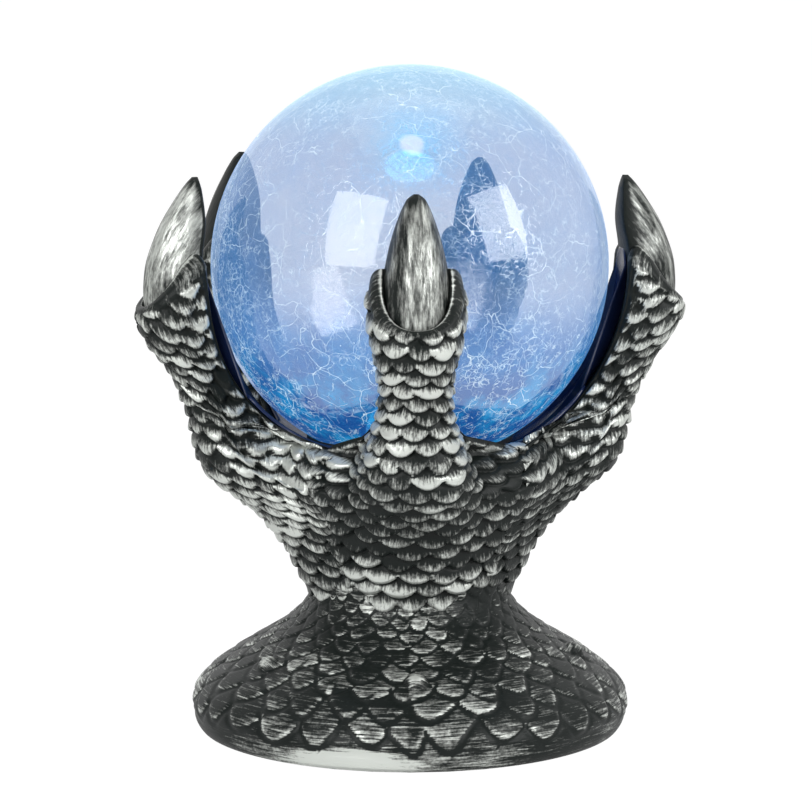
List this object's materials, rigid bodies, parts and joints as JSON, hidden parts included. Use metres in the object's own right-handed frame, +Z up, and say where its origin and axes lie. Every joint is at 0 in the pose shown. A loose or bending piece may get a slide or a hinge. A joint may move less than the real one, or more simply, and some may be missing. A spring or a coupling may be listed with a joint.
{
  "type": "crystal ball",
  "caption": "Lit crackle-glass crystal ball held in a scaled claw stand; the globe lifts out, and the foot hides a battery tray with a hinged door and a slide switch.",
  "frame": {"origin": "on the globe's axis at the underside of the base plate, where the foot rests", "axes": "+Z up along the globe's axis, -Y towards the front finger"},
  "size_m": [0.2086, 0.2074, 0.251],
  "materials": {
    "claw_paint": "black moulded plastic dry-brushed with silver paint",
    "liner_plastic": "smooth black, half gloss",
    "crackle_glass": "clear glass crazed with fine cracks, lit blue",
    "seat_rubber": "soft black rubber",
    "white_plastic": "white moulded plastic",
    "circuit_board": "green circuit board",
    "lamp_epoxy": "clear blue lamp body",
    "lamp_lens": "frosted white dome lit blue from inside",
    "black_plastic": "fine textured black",
    "cell_wrap": "plain dark wrap",
    "red_lead": "red wire insulation",
    "black_lead": "black wire insulation",
    "plated_steel": "bright plating"
  },
  "bodies": {
    "stand": {"base_plate": "black_plastic", "base_screw_1": "plated_steel", "base_screw_2": "plated_steel", "base_screw_3": "plated_steel", "base_screw_4": "plated_steel", "battery_cell_1": "cell_wrap", "battery_cell_2": "cell_wrap", "battery_cell_3": "cell_wrap", "battery_lead_black": "black_lead", "battery_lead_red": "red_lead", "battery_tray": "black_plastic", "board_screw_1": "plated_steel", "board_screw_2": "plated_steel", "contact_plate_1": "plated_steel", "contact_plate_2": "plated_steel", "contact_plate_3": "plated_steel", "contact_spring_1": "plated_steel", "contact_spring_2": "plated_steel", "contact_spring_3": "plated_steel", "control_board": "circuit_board", "cup_liner": "liner_plastic", "driver_chip": "black_plastic", "globe_seat_ring": "seat_rubber", "lamp_lead_black": "black_lead", "lamp_lead_red": "red_lead", "led_1": "lamp_epoxy", "led_2": "lamp_epoxy", "led_3": "lamp_epoxy", "led_board": "circuit_board", "led_lens": "lamp_lens", "light_tower": "white_plastic", "liner_screw_1": "plated_steel", "liner_screw_2": "plated_steel", "liner_screw_3": "plated_steel", "liner_screw_4": "plated_steel", "outer_shell_left": "claw_paint", "outer_shell_right": "claw_paint", "switch_body": "plated_steel", "tower_screw_1": "plated_steel", "tower_screw_2": "plated_steel", "tower_screw_3": "plated_steel", "tray_screw_1": "plated_steel", "tray_screw_2": "plated_steel"},
    "globe": {"crackle_globe": "crackle_glass"},
    "battery_door": {"battery_door": "black_plastic"},
    "switch_knob": {"switch_knob": "white_plastic"}
  },
  "joints": [
    {"name": "globe_lift", "type": "slide", "parent": "stand", "child": "globe", "axis": [0, 0, 1], "range_m": [0, 0.16]},
    {"name": "battery_door_hinge", "type": "hinge", "parent": "stand", "child": "battery_door", "pos_m": [0, 0.0457, 0.0003], "axis": [1, 0, 0], "range_deg": [0, 70]},
    {"name": "switch_slide", "type": "slide", "parent": "stand", "child": "switch_knob", "axis": [1, 0, 0], "range_m": [0, 0.004]}
  ]
}
